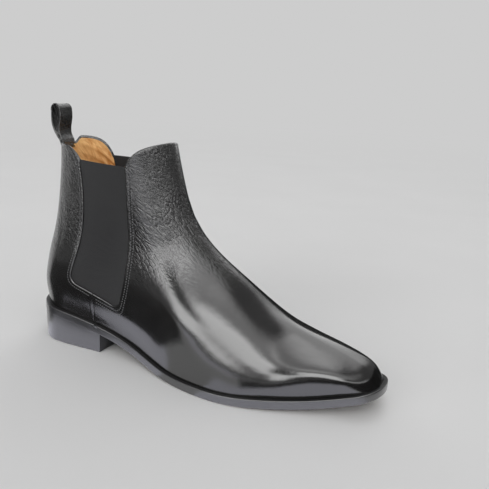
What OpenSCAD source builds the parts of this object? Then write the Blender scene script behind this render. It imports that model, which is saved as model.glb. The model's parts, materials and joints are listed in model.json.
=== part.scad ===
// Chelsea boot for the right foot, in millimetres.
// Lengths along the sole are measured from the back of the heel; every node is then
// shifted so that the origin is the middle of the heel's base. +X is the toe, +Y the
// inner side of the foot, +Z up, and the ground is Z = 0.

/* [Sole] */
// Length of the outsole from heel to toe
sole_length = 306; // [296:1:316]
// Thickness of the outsole
outsole_t = 4.2; // [3.5:0.1:5]
// Thickness of the welt and of the heel rand
welt_t = 2.2; // [1.8:0.1:2.6]
// Distance from the sole's edge in to the upper at the feather line
upper_inset = 2.6; // [2:0.1:3.4]
// Height of the sole's underside at the back of the heel
heel_height = 25; // [23:0.5:27]
// Length of the heel block
heel_length = 76; // [72:1:78]
// Thickness of the rubber top piece under the heel
top_piece_t = 6; // [5:0.5:7]
// Number of nails in the top piece
nail_count = 7; // [5:1:9]

/* [Upper] */
// Thickness of the outer leather
leather_t = 1.4; // [1.2:0.1:1.6]
// Thickness of the middle layer: elastic, heel counter, toe puff and interlining
middle_t = 1.2; // [1:0.1:1.4]
// Thickness of the lining leather
lining_t = 0.9; // [0.8:0.1:1.1]
// Thickness of the strip over the centre-back seam
strip_t = 0.9; // [0.7:0.1:1.1]
// Height of the line where the back of the shaft bends, at the top of the heel counter
bend_z = 75; // [73:0.5:77]
// Gap left at the bend, as rigid pieces can't fold
bend_gap = 0.4; // [0.3:0.1:0.6]

/* [Pull tab] */
// Width of the pull tab's strap
tab_width = 15; // [13:1:18]
// Thickness of the strap
tab_t = 1.5; // [1.3:0.1:1.7]
// Height of the loop above its foot
tab_height = 29; // [26:1:32]

/* [Hidden] */

lateral = -1;
medial = 1;
black = [0.07, 0.07, 0.075];
tan_leather = [0.82, 0.6, 0.34];
heel_centre = heel_length / 2;

// --- Curves -------------------------------------------------------------------------
// A smooth curve through [position, value] pairs, with a slope at each pair that is
// the average of its two neighbours, weighted by their spacing.
function clamp(t, low, high) = max(low, min(high, t));
function smooth(t) = let (c = clamp(t, 0, 1)) c * c * (3 - 2 * c);
function span_of(pairs, t, i = 0) =
    (i >= len(pairs) - 2 || t < pairs[i + 1][0]) ? i : span_of(pairs, t, i + 1);
function rise(pairs, i) = (pairs[i + 1][1] - pairs[i][1]) / (pairs[i + 1][0] - pairs[i][0]);
function slope(pairs, i) =
    i == 0 ? rise(pairs, 0) :
    i == len(pairs) - 1 ? rise(pairs, i - 1) :
    let (before = pairs[i][0] - pairs[i - 1][0], after = pairs[i + 1][0] - pairs[i][0])
    (rise(pairs, i - 1) * after + rise(pairs, i) * before) / (before + after);
function along(pairs, t) =
    let (c = clamp(t, pairs[0][0], pairs[len(pairs) - 1][0]),
         i = span_of(pairs, c),
         h = pairs[i + 1][0] - pairs[i][0],
         w = (c - pairs[i][0]) / h)
    (2 * w * w * w - 3 * w * w + 1) * pairs[i][1]
    + (w * w * w - 2 * w * w + w) * h * slope(pairs, i)
    + (3 * w * w - 2 * w * w * w) * pairs[i + 1][1]
    + (w * w * w - w * w) * h * slope(pairs, i + 1);

// Heights of a rim at t, which runs 0 at its tip to 1 at its middle: a superellipse, and a
// shoulder that is round at its tip and eases into the level.
function superellipse(t, power) =
    let (c = clamp(t, 0, 1)) pow(1 - pow(1 - c, power), 1 / power);
function round_off(t, power) = sqrt(1 - pow(1 - clamp(t, 0, 1), power));

// --- Sole ---------------------------------------------------------------------------
function sole_z(x) = along([[0, heel_height], [36, 22.5], [72, 17], [100, 10.5], [130, 3.4],
    [150, 0.5], [165, 0], [195, 0], [230, 1.8], [265, 5.5], [sole_length, 15]], x);
function feather_z(x) = sole_z(x) + outsole_t + welt_t;
function sole_reach(x, side) =
    side == lateral
    ? along([[0, 31], [36, 33.8], [72, 33], [110, 35.5], [145, 46], [180, 53.5], [205, 53.5],
        [235, 46], [265, 34.5], [290, 25], [306, 19.5]], x)
    : along([[0, 31], [36, 33.5], [72, 29.5], [110, 26.5], [145, 33], [180, 46],
        [205, 50.5], [235, 44.5], [265, 32.5], [290, 23], [306, 18]], x);
// Half width of the sole, rounded at both ends, drawn in by inset all round.
function sole_half(x, side, inset = 0) =
    let (reach = (sole_reach(x, side) - inset))
    reach * superellipse((x - inset) / (30 - inset / 2), 2)
          * superellipse((sole_length - inset - x) / (17 + inset / 2), 2.3);

// --- Last shape ---------------------------------------------------------------------
back_line = [[20, 4], [30, 3], [45, 0.8], [60, 1.4], [75, 3.2], [95, 7.3], [125, 12],
    [150, 14.2], [175, 15.5]];
function back_x(z) = along(back_line, z);
ridge_points = [[302.5, 21.4], [300.5, 25], [294.5, 31.5], [284, 36], [268, 40.5],
    [246, 45.5], [217, 56], [187, 77], [160, 97.5], [141, 119.5], [130.5, 147],
    [123, 174.5]];
function chord(i) = i == 0 ? 0 : chord(i - 1) + norm(ridge_points[i] - ridge_points[i - 1]);
ridge_length = chord(len(ridge_points) - 1);
ridge_along_x = [for (i = [0:len(ridge_points) - 1]) [chord(i) / ridge_length, ridge_points[i][0]]];
ridge_along_z = [for (i = [0:len(ridge_points) - 1]) [chord(i) / ridge_length, ridge_points[i][1]]];
function ridge(u) = [along(ridge_along_x, u), along(ridge_along_z, u)];
ridge_line = [for (i = [0:30]) ridge(i / 30)];
function to_segment(p, a, b) =
    let (t = clamp((p - a) * (b - a) / ((b - a) * (b - a)), 0, 1)) norm(p - a - t * (b - a));
function to_ridge(p) = min([for (i = [0:29]) to_segment(p, ridge_line[i], ridge_line[i + 1])]);

function body_reach(x, side) =
    side == lateral
    ? along([[0, 32], [36, 33.8], [72, 34], [110, 37], [145, 44], [180, 51.4], [205, 52],
        [235, 44.5], [265, 32.5], [290, 23], [306, 18]], x)
    : along([[0, 31.5], [36, 33.5], [72, 32.5], [110, 33.5], [145, 38.5], [180, 46.4],
        [205, 49.3], [235, 42.7], [265, 30.3], [290, 21], [306, 16]], x);
function shaft_reach(z) = along([[40, 34], [70, 31.5], [95, 28.5], [125, 28.3], [155, 28],
    [180, 30.5]], z);
function back_radius(z) = along([[20, 38], [50, 42], [80, 62], [120, 88], [155, 100],
    [175, 102]], z);
function front_radius(x, side) =
    side == lateral
    ? along([[0, 37], [127, 37], [145, 42], [160, 49], [185, 62], [222, 54], [250, 42],
        [268, 33], [285, 25], [295, 20], [302, 17]], x)
    : along([[0, 50], [127, 50], [145, 58], [160, 64], [185, 66], [222, 54], [250, 42],
        [268, 33], [285, 25], [295, 20], [302, 17]], x);
function front_power(x) = along([[0, 2.4], [200, 2.4], [250, 2.6], [280, 3], [302, 3.2]], x);
// Half width of the forefoot: a flat slanting top that turns down into an upright wall.
function toe_fall(x, side) =
    side == lateral ? 0.52 - 0.09 * exp(-pow((x - 268) / 26, 2)) : 0.42;
function toe_turn(x, side) = side == lateral ? 4 + 5 * smooth((x - 225) / 45) : 6;
function toe_section(depth, wall, fall, turn) =
    let (roof = sqrt(depth * (depth + 8)) / fall + 0.001)
    pow(pow(roof, -turn) + pow(wall, -turn), -1 / turn);
// How far the elastic draws the lateral side in.
function hollow(x, z) = 3.6 * exp(-pow((x - 88) / 22, 2) - pow((z - 98) / 38, 2));
// Half width of the boot at a point of its side view.
function boot_half(x, z, side) =
    let (rise_z = z - feather_z(x),
         at_feather = sole_reach(x, side) - upper_inset,
         body = at_feather + (body_reach(x, side) - at_feather) * smooth(rise_z / 28)
              - 0.3 * pow(clamp(1 - rise_z / 5, 0, 1), 2),
         shaft = smooth((z - 44) / 62),
         reach = body * (1 - shaft) + shaft_reach(z) * shaft,
         depth = to_ridge([x, z]),
         round_half = reach * round_off(depth / front_radius(x, side), front_power(x)),
         wall = reach - pow(clamp(rise_z, 0, 20) - 9, 2) / 110,
         flat_half = toe_section(depth, wall, toe_fall(x, side), toe_turn(x, side)),
         flatness = smooth((x - 200) / 45) * (1 - smooth((x - 276) / 24)))
    (round_half + (flat_half - round_half) * flatness)
    * round_off((x - back_x(z)) / back_radius(z), 2.6)
    - (side == lateral ? hollow(x, z) : 0);

// --- Grid over the upper --------------------------------------------------------------
// Four columns of the side view divide it into quarter, gore window and vamp. Rows run
// from the feather line up to the topline, through the window's lower edge and the bend.
row_gore = 7;
row_bend = 9;
row_open = row_bend + 1;
rows = 17;
quarter_cols = 7;
gore_cols = 6;
seam_col = quarter_cols + 3;
vamp_col = quarter_cols + gore_cols;
vamp_cols = 14;
front_col = vamp_col + vamp_cols;
around = 2 * front_col;

function gore_back_x(z) = along([[20, 47], [45, 45.5], [57.5, 45.5], [83, 51], [104, 53.6],
    [124, 54], [157, 48]], z);
function gore_front_x(z) = along([[15, 90], [30, 93], [43, 96], [60, 100], [79, 101],
    [110, 99.5], [135, 98.8], [156, 97.7]], z);
function row_height(j, foot, gore, bend, top) =
    j <= row_gore ? foot + (gore - foot) * j / row_gore :
    j <= row_bend ? gore + (bend - gore) * (j - row_gore) / (row_bend - row_gore) :
    bend + bend_gap + (top - bend - bend_gap) * (j - row_open) / (rows - row_open);
function back_point(j) = let (z = row_height(j, feather_z(3), 52, bend_z, 166)) [back_x(z), z];
function gore_back_point(j) =
    let (z = row_height(j, feather_z(47), 57.5, bend_z, 156.5)) [gore_back_x(z), z];
function gore_front_point(j) =
    let (z = row_height(j, feather_z(91), 43, 68, 155.5)) [gore_front_x(z), z];
function ridge_row(j) =
    j <= row_gore ? 0.4 * pow(j / row_gore, 1.3) :
    j <= row_bend ? 0.4 + 0.18 * (j - row_gore) / (row_bend - row_gore) :
    0.59 + 0.41 * (j - row_open) / (rows - row_open);
function ridge_point(j) = ridge(ridge_row(j));

// A patch between two columns, whose lower edge follows the feather line and whose
// upper edge follows the topline.
function low_weight(j) = 1 - smooth(j / row_gore);
function high_weight(j) = smooth((j - row_open) / (rows - row_open));
function mix(a, b, s) = a * (1 - s) + b * s;
function patch(low, high, low_edge, high_edge, left, right, s, j) =
    mix(left, right, s)
    + (low_edge - mix(low[0], low[1], s)) * low_weight(j)
    + (high_edge - mix(high[0], high[1], s)) * high_weight(j);
function feather_edge(a, b, s) = let (x = a[0] + (b[0] - a[0]) * s) [x, feather_z(x)];
function quarter_top(a, b, s) = [mix(a[0], b[0], s), mix(b[1], a[1], 1 - pow(s, 4))];
function vamp_top(a, b, s) =
    [mix(a[0], b[0], s), mix(a[1], b[1], 0.5 * s + 0.5 * (1 - pow(1 - s, 4)))];
function crowd_start(t) = 1 - cos(90 * t);
function crowd_end(t) = sin(90 * t);
function quarter_point(s, j) =
    let (a0 = back_point(0), b0 = gore_back_point(0),
         a1 = back_point(rows), b1 = gore_back_point(rows))
    patch([a0, b0], [a1, b1], feather_edge(a0, b0, s), quarter_top(a1, b1, s),
          back_point(j), gore_back_point(j), s, j);
function gore_point(s, j) =
    let (a0 = gore_back_point(0), b0 = gore_front_point(0),
         a1 = gore_back_point(rows), b1 = gore_front_point(rows))
    patch([a0, b0], [a1, b1], feather_edge(a0, b0, s), mix(a1, b1, s),
          gore_back_point(j), gore_front_point(j), s, j);
function vamp_point(s, j) =
    let (a0 = gore_front_point(0), b0 = ridge_point(0),
         a1 = gore_front_point(rows), b1 = ridge_point(rows))
    patch([a0, b0], [a1, b1], feather_edge(a0, b0, s), vamp_top(a1, b1, s),
          gore_front_point(j), ridge_point(j), s, j);
function side_point(i, j) =
    i <= quarter_cols ? quarter_point(crowd_start(i / quarter_cols), j) :
    i <= vamp_col ? let (k = (i - quarter_cols) / gore_cols)
                    gore_point(k - 0.3 * k * (1 - k), j) :
    vamp_point(crowd_end((i - vamp_col) / vamp_cols), j);

// The collar stands a little higher on the medial side.
function collar_lift(i, j) =
    let (s = crowd_start(min(i / quarter_cols, 1)))
    5 * smooth((s - 0.1) / 0.14) * (1 - pow(s, 6)) * high_weight(j);

// The grid goes once around the boot: up the lateral side from the back to the ridge,
// then back along the medial side.
function surface_point(i, j) =
    let (side = i <= front_col ? lateral : medial,
         column = i <= front_col ? i : around - i,
         flat = side_point(column, j),
         p = flat + [0, side == medial ? collar_lift(column, j) : 0],
         centre = i == 0 || i == front_col)
    [p[0], centre ? 0 : side * boot_half(p[0], p[1], side), p[1]];
outer = [for (j = [0:rows]) [for (i = [0:around - 1]) surface_point(i, j)]];
function unit(v) = v / norm(v);
function normal(i, j) =
    unit(cross(outer[j][(i + 1) % around] - outer[j][(i + around - 1) % around],
               outer[min(j + 1, rows)][i] - outer[max(j - 1, 0)][i]));
normals = [for (j = [0:rows]) [for (i = [0:around - 1]) normal(i, j)]];
// A point at a depth under the outer surface; the lowest row rests just above the welt.
function sunk(i, j, depth) =
    let (p = outer[j][i] - depth * normals[j][i])
    j == 0 ? [p[0], p[1], feather_z(p[0]) + 0.15] : p;

// A piece of the upper: the cells of the grid that a rule picks, between two depths.
function column_of(i) = i < front_col ? i : around - 1 - i;
function side_of(i) = i < front_col ? lateral : medial;
module panel(from, to, rule) {
    size = (rows + 1) * around;
    function at(i, j) = j * around + (i + around) % around;
    function picked(i, j) =
        let (w = (i + around) % around)
        j >= 0 && j < rows && rule(column_of(w), j, side_of(w));
    function wall(p, q) = [[p, q, q + size], [p, q + size, p + size]];
    cells = [for (j = [0:rows - 1]) for (i = [0:around - 1]) if (picked(i, j)) [i, j]];
    faces = [for (cell = cells)
        let (i = cell[0], j = cell[1],
             a = at(i, j), b = at(i + 1, j), c = at(i + 1, j + 1), d = at(i, j + 1))
        each concat(
            [[a, d, c], [a, c, b], [a + size, c + size, d + size], [a + size, b + size, c + size]],
            picked(i, j - 1) ? [] : wall(a, b),
            picked(i + 1, j) ? [] : wall(b, c),
            picked(i, j + 1) ? [] : wall(c, d),
            picked(i - 1, j) ? [] : wall(d, a))];
    skin = [for (depth = [from, to]) for (j = [0:rows]) for (i = [0:around - 1]) sunk(i, j, depth)];
    translate([-heel_centre, 0, 0]) polyhedron(skin, faces);
}

// --- Rules that share out the grid -----------------------------------------------------
strip_cols = 1;
tab_cols = 2;
tab_row = 14;
puff_row = 5;
puff_col = vamp_col + 8;
in_vamp = function (m, j, side) m >= vamp_col || (m >= seam_col && j < row_gore);
in_lower_quarter = function (m, j, side)
    j < row_bend && (m < quarter_cols || (m < seam_col && j < row_gore));
in_upper_quarter = function (m, j, side) j >= row_open && m < quarter_cols;
in_window = function (m, j, side) m >= quarter_cols - 1 && m <= vamp_col && j >= row_gore - 1;
in_puff = function (m, j, side) m >= puff_col && j < puff_row;
in_tab_anchor = function (m, j, side) m < tab_cols && j >= tab_row;
function only(rule, wanted) = function (m, j, side) side == wanted && rule(m, j, side);
in_counter = function (m, j, side)
    in_lower_quarter(m, j, side) && !in_window(m, j, side);
in_interlining = function (m, j, side)
    in_upper_quarter(m, j, side) && m < quarter_cols - 2 && !in_tab_anchor(m, j, side);
in_doubler = function (m, j, side)
    in_vamp(m, j, side) && !in_window(m, j, side) && !in_puff(m, j, side);

middle_from = leather_t;
lining_from = leather_t + middle_t;
inside = lining_from + lining_t;
module vamp() { color(black) panel(0, leather_t, in_vamp); }
module vamp_interlining() { color("dimgray") panel(middle_from, lining_from, in_doubler); }
module toe_puff() { color("saddlebrown") panel(middle_from, lining_from, in_puff); }
module vamp_lining() { color(tan_leather) panel(lining_from, inside, in_vamp); }
module quarter(side, rule) { color(black) panel(0, leather_t, only(rule, side)); }
module heel_counter() { color("saddlebrown") panel(middle_from, lining_from, in_counter); }
module quarter_interlining() { color("dimgray") panel(middle_from, lining_from, in_interlining); }
module quarter_lining(rule) { color(tan_leather) panel(lining_from, inside, rule); }
// Elastic panel, a hair thinner than the layer it is sewn into.
module gore(side) {
    color([0.2, 0.2, 0.2])
        panel(middle_from + 0.05, lining_from - 0.05, only(in_window, side));
}
module back_strip(first_row, end_row) {
    color(black)
        panel(-strip_t, 0, function (m, j, side) m < strip_cols && j >= first_row && j < end_row);
}
module pull_tab_anchor() { color(black) panel(middle_from, lining_from, in_tab_anchor); }

// --- Bottom ----------------------------------------------------------------------------
stations = [for (x = [-6:6:sole_length + 6]) x];
// A layer that follows the sole's underside between two heights above it.
module layer(low, high) {
    last = len(stations) - 1;
    points = [for (x = stations) for (p = [[-70, low], [70, low], [70, high], [-70, high]])
        [x, p[0], max(0, sole_z(x)) + p[1]]];
    sides = [for (k = [0:last - 1]) for (n = [0:3])
        let (m = (n + 1) % 4) each [[4 * k + n, 4 * k + 4 + n, 4 * k + 4 + m],
                                    [4 * k + n, 4 * k + 4 + m, 4 * k + m]]];
    ends = [[0, 1, 2, 3], [4 * last + 3, 4 * last + 2, 4 * last + 1, 4 * last]];
    polyhedron(points, concat(sides, ends));
}
// Outline of the sole in plan, drawn in by inset, between two distances from the heel.
module outline(inset, from = 0, to = 1000) {
    start = max(from, inset);
    end = min(to, sole_length - inset);
    steps = 48;
    edge = [for (k = [0:steps]) start + (end - start) * (1 - cos(180 * k / steps)) / 2];
    polygon(concat([for (x = edge) [x, -sole_half(x, lateral, inset)]],
                   [for (k = [steps:-1:0]) [edge[k], sole_half(edge[k], medial, inset) + 0.01]]));
}
module prism(low = -60, high = 90) {
    translate([0, 0, low]) linear_extrude(high - low) children();
}
module placed() { translate([-heel_centre, 0, 0]) children(); }

feather = outsole_t + welt_t;
rim = 11;
rand_end = 70;
module outsole() {
    color([0.2, 0.2, 0.21]) placed() intersection() {
        layer(0, outsole_t);
        prism() outline(0);
    }
}
module rim_strip(from, to) {
    color([0.15, 0.15, 0.16]) placed() intersection() {
        layer(outsole_t, feather);
        prism() intersection() {
            difference() {
                outline(0.3);
                outline(rim);
            }
            translate([from, -70]) square([to - from, 140]);
        }
    }
}
module welt() { rim_strip(rand_end, sole_length + 10); }
module heel_rand() { rim_strip(-10, rand_end); }
module shank_outline() {
    translate([66, -8]) square([84, 16]);
    for (x = [66, 150]) translate([x, 0]) circle(8, $fn = 48);
}
module shank() {
    color("lightsteelblue") placed() intersection() {
        layer(outsole_t, feather);
        prism() shank_outline();
    }
}
module bottom_filler() {
    color("peru") placed() intersection() {
        layer(outsole_t, feather);
        prism() difference() {
            outline(rim);
            shank_outline();
        }
    }
}
module insole() {
    color("burlywood") placed() intersection() {
        layer(feather, feather + 2.4);
        prism() outline(9);
    }
}
module sock_liner() {
    color(tan_leather) placed() intersection() {
        layer(feather + 2.4, feather + 3.5);
        prism() outline(9.6);
    }
}

lift_t = 5;
module heel_outline(inset) { outline(inset, 0, heel_length - inset); }
module heel_nail_spots() {
    for (k = [0:nail_count - 1]) {
        angle = 40 + 280 * k / (nail_count - 1);
        translate([heel_centre + 26 * cos(angle), 22 * sin(angle)]) children();
    }
}
module nail_rods() {
    heel_nail_spots() translate([0, 0, 0.3]) cylinder(h = 9, d = 1.8, $fn = 24);
}
module top_piece() {
    color([0.1, 0.1, 0.1]) placed() difference() {
        prism(0, top_piece_t) heel_outline(0.8);
        heel_nail_spots() translate([0, 0, -1]) cylinder(h = 12, d = 1.8, $fn = 24);
    }
}
module heel_nails() { color("goldenrod") placed() nail_rods(); }
module heel_lift_1() {
    color([0.16, 0.16, 0.17]) placed() difference() {
        prism(top_piece_t, top_piece_t + lift_t) heel_outline(0.6);
        nail_rods();
    }
}
module heel_lift_2() {
    color([0.18, 0.18, 0.19]) placed()
        prism(top_piece_t + lift_t, top_piece_t + 2 * lift_t) heel_outline(0.4);
}
module heel_lift_3() {
    color([0.2, 0.2, 0.21]) placed() intersection() {
        layer(-40, 0);
        prism(top_piece_t + 2 * lift_t, 40) heel_outline(0.2);
    }
}

// --- Pull tab --------------------------------------------------------------------------
// The strap stands on the middle layer at the back of the topline. It is a closed loop
// whose front leg swings in above its foot and out again at the top.
tab_foot = [back_x(166) + lining_from - middle_t / 2, 169];
tab_lean = 19;
function back_leg(t) = [-1 - 5.2 * sin(180 * t) * 0.6, (tab_height - 4.5) * t];
function front_leg(t) = [1 + 6.4 * pow(t, 2) - 1.2 * sin(360 * t), (tab_height - 4.5) * t];
tab_steps = 14;
function tab_line() =
    let (back = [for (k = [0:tab_steps]) back_leg(k / tab_steps)],
         front = [for (k = [tab_steps:-1:0]) front_leg(k / tab_steps)],
         left = back[tab_steps], right = front[0], middle = (left + right) / 2,
         reach = (right[0] - left[0]) / 2,
         crown = [for (a = [165:-15:15]) middle + [reach * cos(a), 4.5 * sin(a)]])
    concat(back, crown, front);
module pull_tab() {
    line = tab_line();
    color(black) placed() translate([tab_foot[0], tab_width / 2, tab_foot[1]])
        rotate([90, 0, 0]) linear_extrude(tab_width) rotate(tab_lean) difference() {
            offset(tab_t / 2) polygon(line);
            offset(-tab_t / 2) polygon(line);
        }
}

outsole();
welt();
heel_rand();
heel_lift_1();
heel_lift_2();
heel_lift_3();
top_piece();
heel_nails();
shank();
bottom_filler();
insole();
sock_liner();
vamp();
vamp_interlining();
toe_puff();
vamp_lining();
quarter(lateral, in_lower_quarter);  // quarter_lateral_lower
quarter(medial, in_lower_quarter);  // quarter_medial_lower
quarter(lateral, in_upper_quarter);  // quarter_lateral_upper
quarter(medial, in_upper_quarter);  // quarter_medial_upper
heel_counter();
quarter_interlining();
quarter_lining(in_lower_quarter);  // quarter_lining_lower
quarter_lining(in_upper_quarter);  // quarter_lining_upper
gore(lateral);  // gore_lateral
gore(medial);  // gore_medial
back_strip(0, row_bend);  // back_strip_lower
back_strip(row_open, rows);  // back_strip_upper
pull_tab_anchor();
pull_tab();
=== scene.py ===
"""Looks of a right chelsea boot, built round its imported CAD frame.

Lengths are in millimetres from the back of the heel while a shape is worked out, as in
the CAD source, and become metres in the row frame when a mesh is made.
"""
import json
import math

import bmesh
import bpy
import numpy as np
from mathutils import Matrix, Vector

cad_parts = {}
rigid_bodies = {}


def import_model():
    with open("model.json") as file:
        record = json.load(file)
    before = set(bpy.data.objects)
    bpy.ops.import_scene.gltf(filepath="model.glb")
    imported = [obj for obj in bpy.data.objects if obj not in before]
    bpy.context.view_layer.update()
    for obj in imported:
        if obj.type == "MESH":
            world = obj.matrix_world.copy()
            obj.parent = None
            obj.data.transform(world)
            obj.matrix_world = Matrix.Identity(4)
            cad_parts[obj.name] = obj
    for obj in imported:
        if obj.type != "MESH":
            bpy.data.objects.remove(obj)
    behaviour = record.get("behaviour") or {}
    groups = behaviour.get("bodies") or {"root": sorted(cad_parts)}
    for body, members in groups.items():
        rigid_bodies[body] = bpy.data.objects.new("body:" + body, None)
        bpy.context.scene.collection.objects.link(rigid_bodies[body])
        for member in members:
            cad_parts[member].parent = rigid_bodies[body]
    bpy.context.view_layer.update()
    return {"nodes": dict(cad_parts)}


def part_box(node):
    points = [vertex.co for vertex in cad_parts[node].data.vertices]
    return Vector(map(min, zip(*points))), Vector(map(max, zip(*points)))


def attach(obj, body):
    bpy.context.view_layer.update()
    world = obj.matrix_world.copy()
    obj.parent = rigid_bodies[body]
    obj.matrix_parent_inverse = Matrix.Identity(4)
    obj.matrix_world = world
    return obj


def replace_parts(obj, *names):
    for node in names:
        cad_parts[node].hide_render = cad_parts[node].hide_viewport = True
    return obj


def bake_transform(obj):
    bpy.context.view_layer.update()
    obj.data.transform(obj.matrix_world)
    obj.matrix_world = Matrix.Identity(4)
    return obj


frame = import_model()

MM = 0.001
heel_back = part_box("outsole")[0].x
sole_length = (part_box("outsole")[1].x - heel_back) / MM
heel_length = -2 * heel_back / MM
LATERAL, MEDIAL = -1, 1

outsole_t = 4.2
welt_t = 2.2
feather_t = outsole_t + welt_t
upper_inset = 2.6
leather_t = 1.4
middle_t = 1.2
lining_t = 0.9
bend_z = 75.0
bend_gap = 0.4
heel_steps = 6, 11, 16


# --- Curves ---
def spline(pairs):
    """A natural cubic spline through (position, value) pairs, held level outside them."""
    knots, values = np.array(pairs, float).T
    step = np.diff(knots)
    rise = np.diff(values) / step
    count = len(knots)
    matrix = np.eye(count)
    right = np.zeros(count)
    for k in range(1, count - 1):
        matrix[k, k - 1:k + 2] = step[k - 1], 2 * (step[k - 1] + step[k]), step[k]
        right[k] = 6 * (rise[k] - rise[k - 1])
    bend = np.linalg.solve(matrix, right)

    def at(t):
        t = np.clip(np.asarray(t, float), knots[0], knots[-1])
        k = np.clip(np.searchsorted(knots, t, side="right") - 1, 0, count - 2)
        a, b = (knots[k + 1] - t) / step[k], (t - knots[k]) / step[k]
        curve = ((a ** 3 - a) * bend[k] + (b ** 3 - b) * bend[k + 1]) * step[k] ** 2 / 6
        return a * values[k] + b * values[k + 1] + curve

    return at


def path(points):
    """A smooth curve through points of a plane, with its parameter running 0 to 1."""
    points = np.array(points, float)
    chord = np.concatenate([[0], np.cumsum(np.linalg.norm(np.diff(points, axis=0), axis=1))])
    chord /= chord[-1]
    across = [spline(list(zip(chord, points[:, k]))) for k in range(points.shape[1])]
    return lambda u: np.stack([f(u) for f in across], -1)


def ease(t):
    t = np.clip(t, 0, 1)
    return t * t * t * (t * (6 * t - 15) + 10)


def mix(a, b, s):
    return a * (1 - s) + b * s


def round_off(t, power):
    """Height of a soft shoulder at t, which runs from 0 at its tip to 1 at its middle."""
    return np.sqrt(np.maximum(1 - (1 - np.clip(t, 0, 1)) ** power, 0))


def superellipse(t, power):
    return (1 - (1 - np.clip(t, 0, 1)) ** power) ** (1 / power)


# --- Sole ---
sole_line = spline([(0, 25), (36, 22.5), (72, 17), (100, 10.5), (130, 3.4), (150, 0.5),
                    (165, 0), (195, 0), (230, 1.8), (265, 5.5), (sole_length, 15)])
sole_reach = {
    LATERAL: spline([(0, 31), (36, 33.8), (72, 33), (110, 35.5), (145, 46), (180, 53.5),
                     (205, 53.5), (235, 46), (265, 34.5), (290, 25), (306, 19.5)]),
    MEDIAL: spline([(0, 31), (36, 33.5), (72, 29.5), (110, 26.5), (145, 33), (180, 46),
                    (205, 50.5), (235, 44.5), (265, 32.5), (290, 23), (306, 18)]),
}


heel_round, toe_round = 30, 17


def sole_z(x):
    return np.maximum(sole_line(x), 0)


def feather_z(x):
    return sole_z(x) + feather_t


def sole_half(x, side, inset=0.0):
    """Half width of the sole, rounded at both ends and drawn in by inset all round."""
    return ((sole_reach[side](x) - inset)
            * superellipse((x - inset) / (heel_round - inset / 2), 2)
            * superellipse((sole_length - inset - x) / (toe_round + inset / 2), 2.3))


# --- Shape of the upper ---
back_x = spline([(20, 4), (30, 3), (45, 0.8), (60, 1.4), (75, 3.2), (95, 7.3), (125, 12),
                 (150, 14.2), (175, 15.5)])
ridge = path([(302.5, 21.4), (300.5, 25), (294.5, 31.5), (284, 36), (268, 40.5), (246, 45.5),
              (217, 56), (187, 77), (160, 97.5), (141, 119.5), (130.5, 147), (123, 174.5)])
ridge_line = ridge(np.linspace(0, 1, 160))
body_reach = {
    LATERAL: spline([(0, 32), (36, 33.8), (72, 34), (110, 37), (145, 44), (180, 51.4),
                     (205, 52), (235, 44.5), (265, 32.5), (290, 23), (306, 18)]),
    MEDIAL: spline([(0, 31.5), (36, 33.5), (72, 32.5), (110, 33.5), (145, 38.5), (180, 46.4),
                    (205, 49.3), (235, 42.7), (265, 30.3), (290, 21), (306, 16)]),
}
shaft_reach = spline([(40, 34), (70, 31.5), (95, 28.5), (125, 28.3), (155, 28), (180, 30.5)])
back_radius = spline([(20, 38), (50, 42), (80, 62), (120, 88), (155, 100), (175, 102)])
toe_radii = [(222, 54), (250, 42), (268, 33), (285, 25), (295, 20), (302, 17)]
front_radius = {
    LATERAL: spline([(0, 37), (127, 37), (145, 42), (160, 49), (185, 62)] + toe_radii),
    MEDIAL: spline([(0, 50), (127, 50), (145, 58), (160, 64), (185, 66)] + toe_radii),
}
front_power = spline([(0, 2.4), (200, 2.4), (250, 2.6), (280, 3.0), (302, 3.2)])


def to_ridge(x, z):
    """Distance from points of the side view to the ridge line."""
    best = np.full(x.shape, 1e9)
    for a, b in zip(ridge_line[:-1], ridge_line[1:]):
        along = b - a
        t = np.clip(((x - a[0]) * along[0] + (z - a[1]) * along[1]) / (along @ along), 0, 1)
        gap = (x - a[0] - t * along[0]) ** 2 + (z - a[1] - t * along[1]) ** 2
        best = np.minimum(best, gap)
    return np.sqrt(best)


toe_box_start, toe_box_middle, toe_box_end = 200, 268, 276


def toe_fall(x, side):
    """Slope of the toe's top, flatter on the lateral side of the toe box."""
    return 0.52 - 0.09 * np.exp(-((x - toe_box_middle) / 26) ** 2) if side == LATERAL else 0.42


def toe_turn(x, side):
    """How sharply the toe's top turns down into its wall."""
    return 4 + 5 * ease((x - 225) / 45) if side == LATERAL else 6


def hollow(x, z):
    """How far the elastic draws the lateral side in."""
    return 3.6 * np.exp(-((x - 88) / 22) ** 2 - ((z - 98) / 38) ** 2)


def toe_section(depth, wall, fall, turn):
    """Half width of the forefoot: a flat slanting top that turns down into an upright wall."""
    roof = np.sqrt(depth * (depth + 8)) / fall + 1e-3
    return (roof ** -turn + wall ** -turn) ** (-1 / turn)


def boot_half(x, z, side):
    """Half width of the boot at points of its side view."""
    rise = z - feather_z(x)
    at_feather = sole_reach[side](x) - upper_inset
    body = (at_feather + (body_reach[side](x) - at_feather) * ease(rise / 30)
            - 0.3 * np.clip(1 - rise / 5, 0, 1) ** 2)
    reach = mix(body, shaft_reach(z), ease((z - 40) / 70))
    depth = to_ridge(x, z)
    round_half = reach * round_off(depth / front_radius[side](x), front_power(x))
    wall = reach - (np.clip(rise, 0, 20) - 9) ** 2 / 110
    flat_half = toe_section(depth, wall, toe_fall(x, side), toe_turn(x, side))
    flatness = ease((x - toe_box_start) / 45) * (1 - ease((x - toe_box_end) / 24))
    return (mix(round_half, flat_half, flatness)
            * round_off((x - back_x(z)) / back_radius(z), 2.6)
            - (hollow(x, z) if side == LATERAL else 0))


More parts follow.
